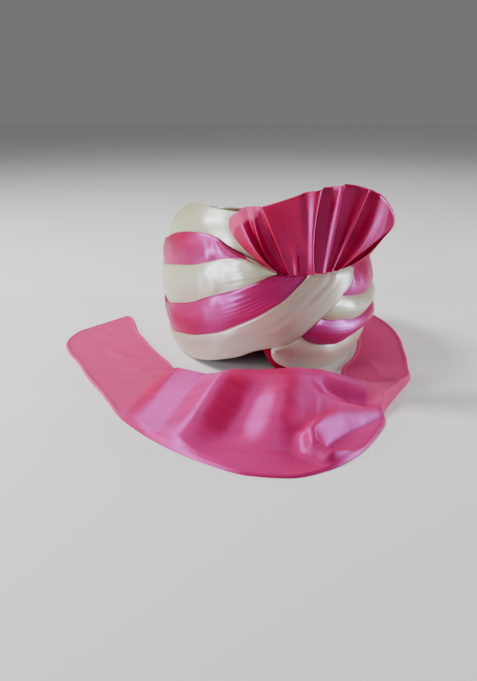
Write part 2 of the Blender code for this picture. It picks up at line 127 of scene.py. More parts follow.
for row in LAMPS:
    area_lamp(*row)

world = bpy.data.worlds.new("studio")
world.use_nodes = True
surround = world.node_tree.nodes["Background"]
surround.inputs["Color"].default_value = (1.0, 1.0, 1.0, 1.0)
surround.inputs["Strength"].default_value = SURROUND_STRENGTH
bpy.context.scene.world = world
print("lamps", [row[0] for row in LAMPS])

# %% [markdown]
# Shader maths is written with ordinary operators: a small class wraps a node's output and adds
# the node for each sum, difference or product, and for a mix of two colours.

# %% Shader helper


class Sock:
    """Output socket that can be added, multiplied and so on."""

    def __init__(self, tree, socket):
        self.tree = tree
        self.socket = socket

    def feed(self, node_input, value):
        """Links a socket to this input, or sets a plain value on it."""
        if isinstance(value, Sock):
            self.tree.links.new(value.socket, node_input)
        else:
            node_input.default_value = value

    def maths(self, operation, *values):
        """Math node with these inputs, in their order."""
        node = self.tree.nodes.new("ShaderNodeMath")
        node.operation = operation
        for node_input, value in zip(node.inputs, values):
            self.feed(node_input, value)
        return Sock(self.tree, node.outputs[0])

    def node(self, kind, output, settings=None, **inputs):
        """Any other node, with its inputs given by name."""
        made = self.tree.nodes.new(kind)
        for name, value in (settings or {}).items():
            setattr(made, name, value)
        for name, value in inputs.items():
            self.feed(made.inputs[name.replace("_", " ")], value)
        return Sock(self.tree, made.outputs[output])

    def __add__(self, other):
        return self.maths("ADD", self, other)

    def __sub__(self, other):
        return self.maths("SUBTRACT", self, other)

    def __rsub__(self, other):
        return self.maths("SUBTRACT", other, self)

    def __mul__(self, other):
        return self.maths("MULTIPLY", self, other)

    __radd__ = __add__
    __rmul__ = __mul__

    def mix(self, low, high):
        """Colour between low and high by this value."""
        made = self.tree.nodes.new("ShaderNodeMix")
        made.data_type = "RGBA"
        self.tree.links.new(self.socket, made.inputs["Factor"])
        for name, value in (("A", low), ("B", high)):
            target = [s for s in made.inputs if s.name == name and s.type == "RGBA"][0]
            self.feed(target, value)
        return Sock(self.tree, [s for s in made.outputs if s.type == "RGBA"][0])


# %% [markdown]
# Satin looks darker and redder where it turns from the light, and lilac in its gloss. One shader
# has only one colour, so a plain one carries the cloth's colour, and a metallic one with the
# lustre's tint is mixed in by a small share. Both stretch their gloss upright, across the
# threads. The creams have less contrast than the pinks, and the lowest wrap is peachier.

# %% Colours and finishes
PINK_DEEP = (0.34, 0.001, 0.028, 1.0)
PINK_BRIGHT = (0.46, 0.002, 0.070, 1.0)
# Paler pink of the dull reverse, also used as painted light on the tail's left run and the fan's curled tips.
PINK_REVERSE_AND_LIGHT = (0.62, 0.06, 0.20, 1.0)
# Painted light: the tail's pinks are lighter than the bands' own, standing for the light on the cloth lying
# flat.
TAIL_PAINTED_LIT_DEEP = (0.46, 0.001, 0.035, 1.0)
TAIL_PAINTED_LIT_BRIGHT = (0.58, 0.003, 0.075, 1.0)
FAN_DEEP = (0.42, 0.001, 0.014, 1.0)
FAN_BRIGHT = (0.52, 0.002, 0.034, 1.0)
CREAM_WARM = (0.56, 0.47, 0.31, 1.0)
CREAM_COOL = (0.50, 0.56, 0.34, 1.0)
CREAM_LOW_WARM = (0.54, 0.36, 0.27, 1.0)
CREAM_LOW_COOL = (0.52, 0.47, 0.38, 1.0)
PINK_LUSTRE = (0.78, 0.18, 1.0, 1.0)
CREAM_LUSTRE = (0.85, 0.93, 1.0, 1.0)
PINK_SHARE = 0.15
TAIL_SHARE = 0.17
FAN_SHARE = 0.11
CREAM_SHARE = 0.18
LINING_SHARE = 0.0
BAND_ROUGHNESS = 0.40
CREAM_ROUGHNESS = 0.38
TAIL_ROUGHNESS = 0.52
LINING_ROUGHNESS = 0.60
PLAIN_GLOSS = 0.15
STREAK = 0.75
UPRIGHT = 0.25
print("lustre shares", PINK_SHARE, TAIL_SHARE, FAN_SHARE, CREAM_SHARE)

# %% [markdown]
# The reverse of the pink cloth, which shows on parts of the tail and the fan, is paler and dull.
# On the tail's left run and the fan's curled tips the same paler colour is also painted light: the
# sheen of cloth lying flat, and the light caught by the curl. An attribute says where, and "along"
# and "across" are metres along the cloth, which place the fine threads and the slow changes of
# colour. Noise on those attributes was chosen because it follows the cloth round the crown, as a
# pattern on Object coordinates wouldn't.

# %% Satin
CHANGES_ALONG = 9.0
CHANGES_ACROSS = 60.0
CHANGE_CONTRAST = 2.4
CHANGE_SHIFT = 0.7
ROUGHNESS_CHANGE = 0.08
REVERSE_ROUGHER = 0.34
THREAD = 0.0006
THREAD_STRETCH = 0.25
THREAD_BUMP = 0.10
THREAD_DEPTH = 0.0002


def cloth_noise(along, across, detail):
    """Noise that follows the cloth, from its two attributes."""
    spot = along.node("ShaderNodeCombineXYZ", "Vector", X=along, Y=across, Z=0.0)
    return spot.node("ShaderNodeTexNoise", "Fac", {"noise_dimensions": "2D"}, Vector=spot, Scale=1.0,
                     Detail=detail)


def satin(name, deep, bright, lustre, lit_share, roughness, reverse_and_light_colour=None):
    """Satin cloth with slow changes of colour, fine threads and a tinted gloss."""
    made = bpy.data.materials.new(name)
    made.use_nodes = True
    tree = made.node_tree
    shader = tree.nodes["Principled BSDF"]
    start = Sock(tree, None)
    along = start.node("ShaderNodeAttribute", "Fac", {"attribute_name": "along"})
    across = start.node("ShaderNodeAttribute", "Fac", {"attribute_name": "across"})
    slow = cloth_noise(along * CHANGES_ALONG, across * CHANGES_ACROSS, 2.0)
    colour = (slow * CHANGE_CONTRAST - CHANGE_SHIFT).mix(deep, bright)
    rough = slow * ROUGHNESS_CHANGE + (roughness - 0.5 * ROUGHNESS_CHANGE)
    weave = cloth_noise(along * (THREAD_STRETCH / THREAD), across * (1.0 / THREAD), 1.0)
    # The paler colour is the dull reverse, and partly painted light where the mask covers cloth that catches
    # the light.
    if reverse_and_light_colour:
        reverse_and_painted_light = start.node("ShaderNodeAttribute", "Fac", {"attribute_name": "reverse_and_painted_light"})
        colour = reverse_and_painted_light.mix(colour, reverse_and_light_colour)
        rough = rough + reverse_and_painted_light * REVERSE_ROUGHER
    bump = start.node("ShaderNodeBump", "Normal", Strength=THREAD_BUMP, Distance=THREAD_DEPTH, Height=weave)
    lit = tree.nodes.new("ShaderNodeBsdfPrincipled")
    lit.inputs["Base Color"].default_value = lustre
    lit.inputs["Metallic"].default_value = 1.0
    tree.links.new(colour.socket, shader.inputs["Base Color"])
    shader.inputs["Specular IOR Level"].default_value = PLAIN_GLOSS
    for each in (shader, lit):
        tree.links.new(rough.socket, each.inputs["Roughness"])
        tree.links.new(bump.socket, each.inputs["Normal"])
        each.inputs["Anisotropic"].default_value = STREAK
        each.inputs["Anisotropic Rotation"].default_value = UPRIGHT
    mixed = tree.nodes.new("ShaderNodeMixShader")
    mixed.inputs[0].default_value = lit_share
    if reverse_and_light_colour:
        share = reverse_and_painted_light * -lit_share + lit_share
        tree.links.new(share.socket, mixed.inputs[0])
    tree.links.new(shader.outputs[0], mixed.inputs[1])
    tree.links.new(lit.outputs[0], mixed.inputs[2])
    tree.links.new(mixed.outputs[0], tree.nodes["Material Output"].inputs["Surface"])
    return made


# %% [markdown]
# Six cloths are needed: the pink of the bands, a redder one for the fan, a softer one for the
# tail, lighter to paint in the light on the cloth lying flat, a plain lining for the cap, and two creams.

# %% Materials
PAPER_WHITE = (0.93, 0.93, 0.93, 1.0)
PAPER_ROUGHNESS = 0.8

pink = satin("pink_satin", PINK_DEEP, PINK_BRIGHT, PINK_LUSTRE, PINK_SHARE, BAND_ROUGHNESS, PINK_REVERSE_AND_LIGHT)
# Painted light: a lighter copy of the pink satin, for the tail lying flat in the light.
pink_tail_painted_light = satin("pink_satin_tail_painted_light", TAIL_PAINTED_LIT_DEEP, TAIL_PAINTED_LIT_BRIGHT, PINK_LUSTRE, TAIL_SHARE, TAIL_ROUGHNESS,
                  PINK_REVERSE_AND_LIGHT)
pink_fan = satin("pink_satin_fan", FAN_DEEP, FAN_BRIGHT, PINK_LUSTRE, FAN_SHARE, BAND_ROUGHNESS,
                 PINK_REVERSE_AND_LIGHT)
lining = satin("pink_lining", PINK_DEEP, PINK_BRIGHT, PINK_LUSTRE, LINING_SHARE, LINING_ROUGHNESS)
cream = satin("cream_satin", CREAM_WARM, CREAM_COOL, CREAM_LUSTRE, CREAM_SHARE, CREAM_ROUGHNESS)
cream_low = satin("cream_satin_low", CREAM_LOW_WARM, CREAM_LOW_COOL, CREAM_LUSTRE, CREAM_SHARE,
                  CREAM_ROUGHNESS)

paper = bpy.data.materials.new("pale_floor")
paper.use_nodes = True
paper_shader = paper.node_tree.nodes["Principled BSDF"]
paper_shader.inputs["Base Color"].default_value = PAPER_WHITE
paper_shader.inputs["Roughness"].default_value = PAPER_ROUGHNESS
floor.data.materials.append(paper)
print("materials", [m.name for m in bpy.data.materials if m.users])

# %% [markdown]
# The crown is an oval drum whose wall bulges at its middle and draws in at the foot and the rim.
# Its rim is highest at the front left. Its sizes repeat those of the solids, in metres and
# degrees, so that the cloth lies where they do.

# %% Crown sizes
CROWN_WIDTH = 0.231
CROWN_LENGTH = 0.264
CROWN_HEIGHT = 0.158
FRONT_TURN = 8.0
FOOT_TUCK = 0.007
FOOT_TUCK_AZIMUTH = 60.0
FOOT_TUCK_TO = 0.3
TAIL_CLOTH = 0.0025
TAIL_GAP = 0.0005
TAIL_COMES_IN = (128.0, 144.0)
TAIL_GOES_OUT = (193.0, 209.0)

# share of the rim's height, inset at the left and at the right as shares of the crown's height
PROFILE = ((0.0, 0.076, 0.114), (0.075, 0.050, 0.076), (0.19, 0.025, 0.038), (0.35, 0.006, 0.0),
           (0.475, 0.0, 0.006), (0.60, 0.0, 0.032), (0.73, 0.019, 0.057), (0.855, 0.063, 0.089),
           (0.935, 0.114, 0.139), (1.0, 0.190, 0.215))

# azimuth, height of the rim as a share of the crown's height
RIM_TOP = ((-180, 0.82), (-130, 0.89), (-90, 0.965), (-50, 1.0), (-20, 0.99), (20, 0.98), (60, 0.96),
           (100, 0.92), (140, 0.86), (180, 0.82))
print("crown", CROWN_WIDTH, CROWN_LENGTH, CROWN_HEIGHT)

# %% [markdown]
# Every wrap lies on the crown's wall, so the wall is worked out before them. Small functions on
# whole arrays make it: an eased curve through a table's rows, the oval, and the radius of the
# wall at any azimuth and height. A lofted mesh would look the same, but nothing could be laid on
# it so exactly.

# %% Curves and the crown's wall


def smooth(x, rows, column=1):
    """Curve through the rows that doesn't swing past them, for an array of places."""
    xs = np.array([row[0] for row in rows], float)
    ys = np.array([row[column] for row in rows], float)
    x = np.clip(np.asarray(x, float), xs[0], xs[-1])
    slopes = np.diff(ys) / np.diff(xs)
    before, after = slopes[:-1], slopes[1:]
    product = before * after
    total = np.where(before + after == 0.0, 1.0, before + after)
    inner = np.where(product > 0.0, 2.0 * product / total, 0.0)
    tangents = np.concatenate(([slopes[0]], inner, [slopes[-1]]))
    i = np.clip(np.searchsorted(xs, x, side="right") - 1, 0, len(xs) - 2)
    step = xs[i + 1] - xs[i]
    t = (x - xs[i]) / step
    return (ys[i] * (1 + 2 * t) * (1 - t) ** 2 + step * tangents[i] * t * (1 - t) ** 2
            + ys[i + 1] * t * t * (3 - 2 * t) + step * tangents[i + 1] * t * t * (t - 1))


def fade(low, high, x):
    """Eased step from 0 at low to 1 at high."""
    t = np.clip((np.asarray(x, float) - low) / (high - low), 0.0, 1.0)
    return t * t * (3.0 - 2.0 * t)


def around(azimuth):
    """The same azimuth between -180 and 180."""
    return (np.asarray(azimuth, float) + 180.0) % 360.0 - 180.0


def oval(azimuth):
    """Distance of the oval from the axis, with the crown turned a little to the right."""
    turn = np.radians(azimuth - FRONT_TURN)
    return 1.0 / np.hypot(2.0 * np.cos(turn) / CROWN_LENGTH, 2.0 * np.sin(turn) / CROWN_WIDTH)


def rim_top(azimuth):
    """Height of the rim."""
    return CROWN_HEIGHT * smooth(around(azimuth), RIM_TOP)


def wall(azimuth, height):
    """Radius of the crown's outside at this azimuth and height."""
    share = height / rim_top(azimuth)
    right = 0.5 + 0.5 * np.sin(np.radians(azimuth - FRONT_TURN))
    inset = smooth(share, PROFILE, 1) * (1.0 - right) + smooth(share, PROFILE, 2) * right
    facing = np.maximum(0.0, np.cos(np.radians(azimuth - FOOT_TUCK_AZIMUTH)))
    foot = FOOT_TUCK * facing * (1.0 - fade(0.0, FOOT_TUCK_TO, share))
    return oval(azimuth) - CROWN_HEIGHT * inset - foot


def place(azimuth, radius, height):
    """Points in space, from the crown's axis; azimuth 0 is the front and 90 the right."""
    turn = np.radians(azimuth)
    azimuth, radius, height = np.broadcast_arrays(azimuth, radius, height)
    return np.stack((AXIS_X + radius * np.sin(turn), AXIS_Y - radius * np.cos(turn), height), axis=-1)


def tail_passage(azimuth):
    """How much the rim stands up at the back, where the tail comes out under it."""
    back = np.asarray(azimuth, float) % 360.0
    return (TAIL_CLOTH + TAIL_GAP) * fade(*TAIL_COMES_IN, back) * (1.0 - fade(*TAIL_GOES_OUT, back))


print("wall at the front, halfway up", round(float(wall(np.array(0.0), np.array(0.5 * CROWN_HEIGHT))), 4))

# %% [markdown]
# Each piece of cloth is a closed body through rings of points, so that it has a thickness from
# every side. Its two ends are closed with a fan of faces, and a ring of stations needs no ends.

# %% From rings to cloth


def grid_object(name, points, along, across, looped_rows=False, reverse_and_painted_light=None):
    """Closed body through rings of points, with its cloth attributes and smooth shading."""
    rows, size = points.shape[:2]
    index = np.arange(rows * size).reshape(rows, size)
    last = rows if looped_rows else rows - 1
    faces = []
    for i in range(last):
        a = index[i]
        b = index[(i + 1) % rows]
        faces.extend(zip(a, np.roll(a, -1), np.roll(b, -1), b))
    flat = points.reshape(-1, 3)
    if not looped_rows:
        middle = len(flat)
        flat = np.vstack((flat, points[0].mean(axis=0), points[-1].mean(axis=0)))
        faces.extend(zip(index[0], np.roll(index[0], -1), [middle] * size))
        faces.extend(zip(index[-1], np.roll(index[-1], -1), [middle + 1] * size))
    made = mesh_object(name, flat.tolist(), [tuple(int(v) for v in face) for face in faces])
    mesh = made.data
    values = {"along": along, "across": across}
    if reverse_and_painted_light is not None:
        values["reverse_and_painted_light"] = reverse_and_painted_light
    for key, value in values.items():
        full = np.zeros(len(flat))
        full[:rows * size] = np.broadcast_to(value, (rows, size)).ravel()
        layer = mesh.attributes.new(key, "FLOAT", "POINT")
        layer.data.foreach_set("value", full.astype(np.float32))
    bpy.ops.object.select_all(action="DESELECT")
    made.select_set(True)
    bpy.context.view_layer.objects.active = made
    bpy.ops.object.mode_set(mode="EDIT")
    bpy.ops.mesh.select_all(action="SELECT")
    bpy.ops.mesh.normals_make_consistent(inside=False)
    bpy.ops.object.mode_set(mode="OBJECT")
    bpy.ops.object.shade_smooth()
    made.select_set(False)
    return made


def dress(piece, node, material):
    """Gives the piece its material, attaches it to the root and hides the solid it stands in for."""
    piece.data.materials.clear()
    piece.data.materials.append(material)
    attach(piece, "root")
    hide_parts(node)
    print(piece.name, len(piece.data.vertices), "points")


# %% [markdown]
# The wraps are padded bands of satin. Each one starts low at the front right, goes once round
# the crown and crosses over at the front, and it shares its edges with its neighbours. So five
# edge lines describe all of them. A station is the way round in degrees, past 360 at the
# crossing, and each row gives the height there.

# %% Edges of the wraps
WRAP_DEPTH = 0.006
SEAM_GAP = 0.0008
KNOT_LINE = 0.67
FIRST_STATION = 7.0
LAST_STATION = 399.5
CROSSING_GAP = 0.7
CROSSING_FROM = 359.0

# station in degrees, height as a share of the crown's height
EDGE_0 = ((7, 0.19), (10, 0.127), (14, 0.07), (19, 0.019), (24, 0.0), (60, 0.0), (180, 0.0), (309, 0.0),
          (316, 0.013), (325, 0.038), (335, 0.076), (344, 0.114), (352, 0.165), (359, 0.196), (366, 0.222),
          (371, 0.285), (376, 0.348), (380, 0.40), (384, 0.444), (388, 0.481), (391, 0.52), (395, 0.551),
          (397.5, 0.582), (399.5, 0.662))
EDGE_1 = ((16, 0.337), (21, 0.278), (28, 0.203), (33, 0.184), (38, 0.19), (44, 0.209), (60, 0.222),
          (90, 0.203), (130, 0.184), (180, 0.171), (230, 0.152), (270, 0.133), (289, 0.127), (305, 0.165),
          (316, 0.19), (328, 0.234), (336, 0.272), (346, 0.342), (353, 0.399), (360, 0.468), (366, 0.532),
          (370, 0.589), (373, 0.633), (375, 0.667))
EDGE_2 = ((24.5, 0.43), (29, 0.386), (35, 0.354), (40, 0.342), (47, 0.342), (57, 0.367), (70, 0.38),
          (100, 0.367), (180, 0.342), (240, 0.323), (285, 0.323), (304, 0.373), (319, 0.424), (329, 0.481),
          (337, 0.519), (346, 0.57), (353, 0.614), (358, 0.652), (361, 0.6685))
EDGE_3 = ((33.5, 0.538), (38, 0.506), (43, 0.487), (54, 0.475), (70, 0.494), (100, 0.519), (180, 0.506),
          (240, 0.532), (279, 0.57), (299, 0.614), (310, 0.639), (319, 0.658), (328, 0.69), (336, 0.722),
          (343, 0.741), (348.5, 0.75), (352, 0.738), (357, 0.712), (361.5, 0.687))
EDGE_4 = ((39.5, 0.662), (50, 0.677), (70, 0.69), (100, 0.696), (180, 0.658), (240, 0.684), (279, 0.747),
          (298, 0.816), (314, 0.848), (322, 0.854), (332, 0.842), (338, 0.81), (343, 0.785), (348, 0.762))
print("edge rows", [len(edge) for edge in (EDGE_0, EDGE_1, EDGE_2, EDGE_3, EDGE_4)])

# %% [markdown]
# Laid cloth is never quite even. Slow ripples run through every band, and near the crossing,
# where the bands are drawn together, fine gathers run along them. Sums of sines are enough for
# both, because the bands are held tight.

# %% Unevenness and gathers


def edge_azimuth(edge, station):
    """Azimuth of an edge's point, from its own first place to its own last."""
    fixed = (60.0, 325.0)
    return np.interp(station, (FIRST_STATION, *fixed, LAST_STATION), (edge[0][0], *fixed, edge[-1][0]))


def crossing_azimuth(height):
    """Azimuth at which the crossing band's low edge passes this height."""
    line = [(share, azimuth - 360.0) for azimuth, share in EDGE_0 if azimuth >= CROSSING_FROM]
    return smooth(height / CROWN_HEIGHT, line)


def ripple(place_along, share, phase):
    """Slow unevenness of hand-laid cloth, from -1 to 1."""
    turn = np.radians(place_along)
    return (0.5 * np.sin(5.0 * turn + 2.1 * share + phase)
            + 0.3 * np.sin(11.0 * turn - 3.7 * share + 1.9 * phase)
            + 0.2 * np.sin(23.0 * turn + 5.3 * share + 2.7 * phase))


def gathers(share, count, phase):
    """Fine folds that run along the band, sharp on one side."""
    wave = np.sin(2.0 * math.pi * (count * share + 0.35 * np.sin(2.0 * math.pi * share + phase)) + phase)
    return wave + 0.35 * np.sin(2.0 * math.pi * 2.3 * count * share + 2.0 * phase)


# %% [markdown]
# A band's section is a curve from the tucked edge to the rolled edge. At the left the upper edges
# are rolled over the band above, and at the right the lower edges hang over the band below. The
# lowest band has a round free rim instead, on which the crown stands.

# %% Section of a band
WRAP_TUCKED = 0.0026
WRAP_ROLL = 0.0030
ROLL_POWER = 1.4
ROLL_CENTRE = 0.62
OVERHANG = 0.0020
RIM_ROUND = 0.0030
ROLL_FROM = -70.0
RIM_FROM = -88.0
ACROSS_POINTS = 34
ROLL_POINTS = 7
UNDER_POINTS = 8


def band_ring(span, proud_low, proud_high, free):
    """Shares across the band and levels of its thickness, once round the section.

    span is the band's width, proud_low and proud_high say how far each edge hangs over its
    neighbour, and free is 1 where the low edge is the crown's free rim.
    """
    turn = np.radians(np.linspace(ROLL_FROM, 90.0, ROLL_POINTS))
    back = turn[::-1]
    round_rim = np.radians(np.linspace(RIM_FROM, 90.0, ROLL_POINTS))
    edge_low = -OVERHANG * proud_low * np.cos(turn) / span
    level_low = ROLL_CENTRE + (1.0 - ROLL_CENTRE) * np.sin(turn)
    edge_low = free * (RIM_ROUND / span) * (1.0 - np.cos(round_rim)) + (1.0 - free) * edge_low
    level_low = free * (0.5 + 0.5 * np.sin(round_rim)) + (1.0 - free) * level_low
    edge_high = 1.0 + OVERHANG * proud_high * np.cos(back) / span
    level_high = ROLL_CENTRE + (1.0 - ROLL_CENTRE) * np.sin(back)
    body = np.linspace(0.0, 1.0, ACROSS_POINTS + 2)[1:-1]
    across = edge_low[-1] + (edge_high[0] - edge_low[-1]) * body
    share = np.concatenate((edge_low, across, edge_high, np.linspace(1.0, 0.0, UNDER_POINTS)))
    level = np.concatenate((level_low, np.ones(ACROSS_POINTS), level_high, np.zeros(UNDER_POINTS)))
    return share, level


print("points round a band", len(band_ring(0.04, 0.0, 1.0, 0.0)[0]))

# %% [markdown]
# The thickness makes the padded look. It swells to the middle, more so in the small lobes at the
# right of the front, grows to the rolled edge, and lifts over the crossing, where the bands below
# it pass through.

# %% Thickness of a band
WRAP_PUFF = 0.0018
LOBE_PUFF = 0.0036
LOBES_END = (50.0, 95.0)
KNOT_LIFT = 0.0075
KNOT_RISES = (345.0, 385.0)
LEFT_SIDE = (140.0, 230.0)
RIPPLE_HEIGHT = 0.0007
GATHERS_BEFORE_KNOT = (338.0, 388.0)
GATHERS_AFTER_KNOT = (20.0, 48.0)
GATHERS_AFTER_SHARE = 0.2
GATHERS_DRIFT = 0.006
SOFT_SIDES = 1.6


def band_thickness(share, station, phase, gathered):
    """Thickness at these shares across the band and these stations."""
    left = fade(*LEFT_SIDE, station)
    rolled = left * share ** ROLL_POWER + (1.0 - left) * (1.0 - share) ** ROLL_POWER
    lobe = LOBE_PUFF * (1.0 - fade(*LOBES_END, station))
    puff = (WRAP_PUFF + lobe) * 4.0 * share * (1.0 - share)
    thick = WRAP_TUCKED + WRAP_ROLL * rolled + puff + KNOT_LIFT * fade(*KNOT_RISES, station)
    inside = np.clip(4.0 * share * (1.0 - share) * SOFT_SIDES, 0.0, 1.0)
    thick = thick + RIPPLE_HEIGHT * ripple(station, share, phase) * inside
    near_knot = fade(*GATHERS_BEFORE_KNOT, station)
    near_knot = near_knot + GATHERS_AFTER_SHARE * (1.0 - fade(*GATHERS_AFTER_KNOT, station))
    count, height = gathered
    return thick + height * gathers(share, count, phase + station * GATHERS_DRIFT) * near_knot * inside


# %% [markdown]
# A band is then its two edge lines, with a section at each station between them, laid on the wall.
# The bands are trimmed a little at the seams, so that neighbours don't touch, and the start of
# each band is cut along the edge of the band that crosses over it.

# %% Band
RIM_LEAVES_FLOOR = (352.0, 372.0)
RIM_HEIGHT = 0.002
LEAST_HEIGHT = 0.0003
MOST_TRIM = 0.35
CROSSING_ENDS = 25.0
STATIONS = 330


def band_points(low_az, low_z, high_az, high_z, station, phase, crossing, floor_edge, gathered):
    """Rings of points of a band, one for each station, with the metres along and across it."""
    span = np.hypot(np.radians(high_az - low_az) * oval(low_az), high_z - low_z)
    left = fade(*LEFT_SIDE, station)
    lifted = fade(*RIM_LEAVES_FLOOR, station)
    proud_low = np.maximum(1.0 - left, lifted) if floor_edge else 1.0 - left
    free = 1.0 - lifted if floor_edge else np.zeros(len(station))
    rings = [band_ring(*row) for row in zip(span, proud_low, left, free)]
    share = np.array([ring[0] for ring in rings])
    level = np.array([ring[1] for ring in rings])
    station = station[:, None]
    thick = band_thickness(np.clip(share, 0.0, 1.0), station, phase, gathered)
    trim = np.minimum(MOST_TRIM, 0.5 * SEAM_GAP / span)[:, None]
    free_low = (low_z > RIM_HEIGHT)[:, None]
    kept = np.where(free_low, trim + (1.0 - 2.0 * trim) * share, (1.0 - trim) * share)
    azimuth = low_az[:, None] + (high_az - low_az)[:, None] * kept
    height = low_z[:, None] + (high_z - low_z)[:, None] * kept
    if crossing:
        start = 1.0 - fade(FIRST_STATION, CROSSING_ENDS, station)
        azimuth = azimuth + start * (crossing_azimuth(height) + CROSSING_GAP - azimuth)
    height = np.maximum(height, LEAST_HEIGHT)
    points = place(azimuth, wall(azimuth, height) - WRAP_DEPTH + level * thick, height)
    along = np.radians(station) * CROWN_WIDTH * 0.5
    return points, along, share * span[:, None]


# %% [markdown]
# The four lower bands cross at the front. Only the lowest one stands on the floor, and at the
# back it leaves room for the tail, which comes out under it.

# %% The four crossing wraps


def spiral_wrap(name, lower, upper, phase, gathered):
    """Band between two edge lines, with its own phase of ripples and its own gathers."""
    station = np.linspace(FIRST_STATION, LAST_STATION, STATIONS)
    low_az = edge_azimuth(lower, station)
    high_az = edge_azimuth(upper, station)
    low_z = CROWN_HEIGHT * smooth(low_az, lower)
    if lower is EDGE_0:
        low_z = low_z + tail_passage(low_az)
    high_z = CROWN_HEIGHT * smooth(high_az, upper)
    points, along, across = band_points(low_az, low_z, high_az, high_z, station, phase, True,
                                        lower is EDGE_0, gathered)
    return grid_object(name, points, along, across)


wrap_1 = spiral_wrap("cream_wrap_low", EDGE_0, EDGE_1, 0.4, (2.0, 0.0002))
wrap_2 = spiral_wrap("pink_wrap_low", EDGE_1, EDGE_2, 1.7, (7.0, 0.0003))
wrap_3 = spiral_wrap("cream_wrap_middle", EDGE_2, EDGE_3, 2.9, (3.0, 0.0002))
wrap_4 = spiral_wrap("pink_wrap_high", EDGE_3, EDGE_4, 4.1, (3.0, 0.0002))
dress(wrap_1, "wrap_1_cream", cream_low)
dress(wrap_2, "wrap_2_pink", pink)
dress(wrap_3, "wrap_3_cream", cream)
dress(wrap_4, "wrap_4_pink", pink)

# %% [markdown]
# The top band is a closed ring round the rim. Its low edge follows the fourth band's upper edge,
# then the third's, and then a level line behind the fan. It doesn't lift over the crossing, so
# its stations are held short of it at the front.

# %% Top band
BEFORE_KNOT = 345.0
BEHIND_KNOT = 400.0
LEAN_EASES = (39.5, 90.0)
LEFT_FRONT = 300.0

station = np.linspace(EDGE_4[0][0], EDGE_4[0][0] + 360.0, STATIONS, endpoint=False)
past_fourth = np.where(station <= EDGE_3[-1][0], smooth(station, EDGE_3), KNOT_LINE)
low_z = CROWN_HEIGHT * np.where(station <= EDGE_4[-1][0], smooth(station, EDGE_4), past_fourth)
high_z = rim_top(station) - SEAM_GAP
right_front = BEHIND_KNOT - (BEHIND_KNOT - station) * fade(*LEAN_EASES, station)
lean = np.minimum(np.where(station > LEFT_FRONT, station, right_front), BEFORE_KNOT)
points, along, across = band_points(station, low_z + 0.5 * SEAM_GAP, station, high_z, lean, 5.2,
                                    False, False, (2.0, 0.0001))
along = np.radians(station)[:, None] * CROWN_WIDTH * 0.5
wrap_5 = grid_object("cream_band_top", points, along, across, looped_rows=True)
dress(wrap_5, "wrap_5_cream", cream)

# %% [markdown]
# The cap carries the wraps: a thin skin just inside them, with a shallow top. Its foot shows dark
# in the arch at the front, and its inside is the hollow for the head. It is made of rings from
# the foot to the middle of the top, for its outside and again for its inside.

# %% Cap
CAP_WALL = 0.0025
CAP_GAP = 0.0009
CAP_RIM_RISE = 0.0015
CAP_TOP_SINK = 0.006
CAP_CENTRE_HEIGHT = 0.139
CAP_ROUND_POINTS = 180
CAP_RINGS = 24
CAP_TOP_SHARES = (0.97, 0.9, 0.8, 0.65, 0.5, 0.35, 0.2, 0.1, 0.03)
CAP_CLOTH = (0.7, 0.4)

# azimuth, height of the foot as a share of the crown's height
CAP_FRONT_FOOT = ((-180, 0.0), (-51, 0.0), (-44, 0.024), (-35, 0.05), (-25, 0.088), (-16, 0.126), (-9, 0.17),
                  (-5, 0.18), (-1, 0.09), (4, 0.0), (180, 0.0))


def cap_rings(inset):
    """Rings of the cap from its foot to the middle of its top, this far inside its outer face."""
    azimuth = np.linspace(-180.0, 180.0, CAP_ROUND_POINTS, endpoint=False)
    foot = CROWN_HEIGHT * smooth(azimuth, CAP_FRONT_FOOT) + tail_passage(azimuth) + CAP_RIM_RISE
    top = rim_top(azimuth) - CAP_TOP_SINK - inset
    rings = []
    for share in np.linspace(0.0, 1.0, CAP_RINGS):
        height = foot + (top - foot) * share
        rings.append(place(azimuth, wall(azimuth, height) - WRAP_DEPTH - CAP_GAP - inset, height))
    edge = wall(azimuth, top) - WRAP_DEPTH - CAP_GAP - inset
    for share in CAP_TOP_SHARES:
        height = top * share + (CAP_CENTRE_HEIGHT - inset) * (1.0 - share)
        rings.append(place(azimuth, edge * share, height))
    return rings


cap_points = np.array(list(reversed(cap_rings(0.0))) + cap_rings(CAP_WALL))
along = np.linspace(0.0, CAP_CLOTH[0], cap_points.shape[1])
across = np.linspace(0.0, CAP_CLOTH[1], cap_points.shape[0])[:, None]
cap = grid_object("cap", cap_points, along, across)
dress(cap, "crown_cap", lining)

# %% [markdown]
# The fan is one cloth, gathered at its foot and pressed into pleats. It could be a folded strip
# with even pleats, but the real pleats differ, so each row of the table is one pleat line, with
# its places at the foot, halfway and at the tip, and how far it stands forward there.

# %% Fan sizes and pleats
FAN_LEFT = -0.041
FAN_WIDTH = 0.155
FAN_HEIGHT = 0.083
FAN_FOOT_GAP = 0.0003
FAN_STANDOFF = 0.0055
FAN_CLOTH = 0.0025
FAN_PLEAT = 0.0048

# share of the fan's width, front of the fan as a share of half the crown's length
FAN_PLAN = ((-0.10, 0.835), (0.0, 0.905), (0.13, 0.965), (0.26, 0.993), (0.39, 1.0), (0.52, 0.985),
            (0.65, 0.955), (0.85, 0.88), (1.05, 0.78))

